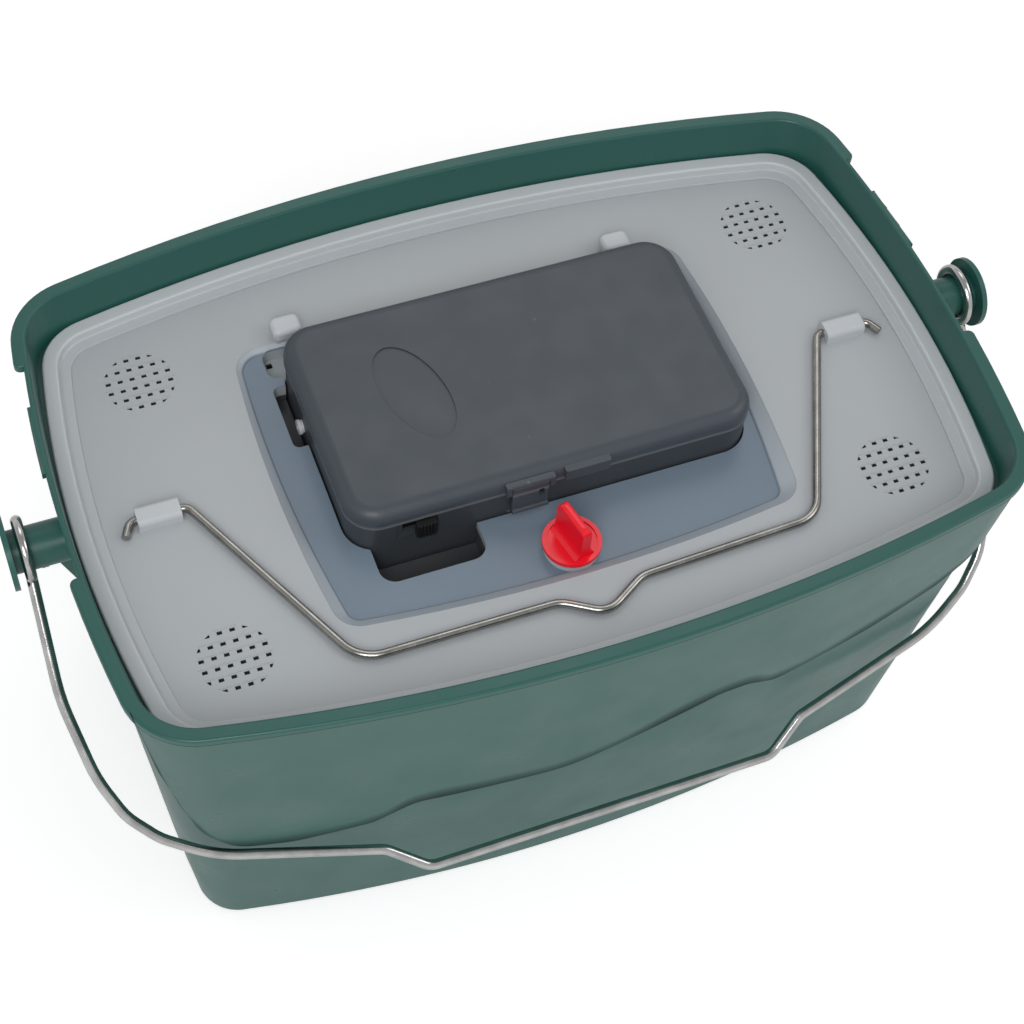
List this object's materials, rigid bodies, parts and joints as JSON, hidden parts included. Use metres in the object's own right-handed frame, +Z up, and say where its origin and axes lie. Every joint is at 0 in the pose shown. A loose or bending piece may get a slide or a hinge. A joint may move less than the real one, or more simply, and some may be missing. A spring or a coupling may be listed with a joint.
{
  "type": "aerated bait bucket",
  "caption": "Tapered rectangular bait bucket with wire bail, drop-in vented lid with folding wire handle and drain plug, and a battery air pump in a well in the lid.",
  "frame": {"origin": "centre of the bucket's flat underside", "axes": "+X along the bucket's long side, +Y to the back (away from the pump's switch), +Z up out of the bucket's mouth"},
  "size_m": [0.379, 0.2308, 0.191],
  "materials": {
    "bucket_green": "moulded green plastic, satin to glossy",
    "bright_steel": "bright plated steel wire",
    "satin_steel": "dull stainless wire",
    "lid_frosted": "frosted translucent white plastic",
    "white_plastic": "white moulded plastic",
    "nozzle_white": "white moulded plastic",
    "plug_red": "glossy red plastic",
    "seal_rubber": "black rubber",
    "gasket_foam": "dark foam rubber",
    "pump_grey": "dark grey moulded plastic, fine texture",
    "black_plastic": "black plastic",
    "inner_plastic": "grey plastic",
    "motor_steel": "drawn steel can",
    "bracket_zinc": "zinc plated sheet",
    "screw_steel": "plated steel",
    "contact_steel": "nickel plated spring steel",
    "cell_jacket": "plain jacket"
  },
  "bodies": {
    "bucket": {"bucket": "bucket_green"},
    "bail": {"bail_wire": "bright_steel"},
    "lid": {"lid": "lid_frosted", "handle_clip_left": "white_plastic", "handle_clip_right": "white_plastic"},
    "lid_handle": {"lid_handle": "satin_steel"},
    "plug_seal": {"plug_seal": "seal_rubber"},
    "plug": {"plug": "plug_red"},
    "pump": {"pump_case": "pump_grey", "cover_hinge_pins": "satin_steel", "switch_body": "black_plastic", "motor_can": "motor_steel", "motor_end_cap": "white_plastic", "motor_bracket": "bracket_zinc", "bracket_screws": "screw_steel", "rod_guide": "black_plastic", "valve_block": "black_plastic", "valve_flaps": "seal_rubber", "outlet_nozzle": "nozzle_white", "diaphragm": "seal_rubber", "diaphragm_clamp": "white_plastic", "mechanism_cover": "inner_plastic", "mechanism_screws": "screw_steel", "battery_front": "cell_jacket", "battery_rear": "cell_jacket", "contact_terminals": "contact_steel", "contact_link": "contact_steel", "contact_springs": "contact_steel"},
    "pump_cover": {"pump_cover": "pump_grey", "cover_gasket": "gasket_foam", "latch_pin": "satin_steel"},
    "cover_latch": {"cover_latch": "pump_grey"},
    "switch": {"switch_slider": "black_plastic"},
    "rotor": {"motor_shaft": "screw_steel", "crank_disc": "black_plastic", "crank_pin": "screw_steel"},
    "rod": {"yoke_rod": "white_plastic"}
  },
  "joints": [
    {"name": "bail_swing", "type": "hinge", "parent": "bucket", "child": "bail", "pos_m": [0, 0, 0.1755], "axis": [-1, 0, 0], "range_deg": [0, 268]},
    {"name": "lid_lift", "type": "slide", "parent": "bucket", "child": "lid", "axis": [0, 0, 1], "range_m": [0, 0.15]},
    {"name": "lid_handle_fold", "type": "hinge", "parent": "lid", "child": "lid_handle", "pos_m": [0, 0.0015, 0.172], "axis": [-1, 0, 0], "range_deg": [0, 176]},
    {"name": "plug_lift", "type": "slide", "parent": "lid", "child": "plug_seal", "axis": [0, 0, 1], "range_m": [0, 0.03]},
    {"name": "plug_turn", "type": "hinge", "parent": "plug_seal", "child": "plug", "pos_m": [0.0009, -0.0545, 0.167], "axis": [0, 0, 1], "continuous": true},
    {"name": "pump_lift", "type": "slide", "parent": "lid", "child": "pump", "axis": [0, 0, 1], "range_m": [0, 0.06]},
    {"name": "cover_open", "type": "hinge", "parent": "pump", "child": "pump_cover", "pos_m": [0.0043, 0.0602, 0.1756], "axis": [-1, 0, 0], "range_deg": [0, 95]},
    {"name": "latch_release", "type": "hinge", "parent": "pump_cover", "child": "cover_latch", "pos_m": [-0.008, -0.0344, 0.1812], "axis": [-1, 0, 0], "range_deg": [0, 25]},
    {"name": "switch_slide", "type": "slide", "parent": "pump", "child": "switch", "axis": [-1, 0, 0], "range_m": [0, 0.006]},
    {"name": "motor_spin", "type": "hinge", "parent": "pump", "child": "rotor", "pos_m": [-0.012, 0.02, 0.16], "axis": [0, 1, 0], "continuous": true},
    {"name": "rod_stroke", "type": "slide", "parent": "pump", "child": "rod", "axis": [1, 0, 0], "range_m": [-0.0015, 0.0015]}
  ]
}
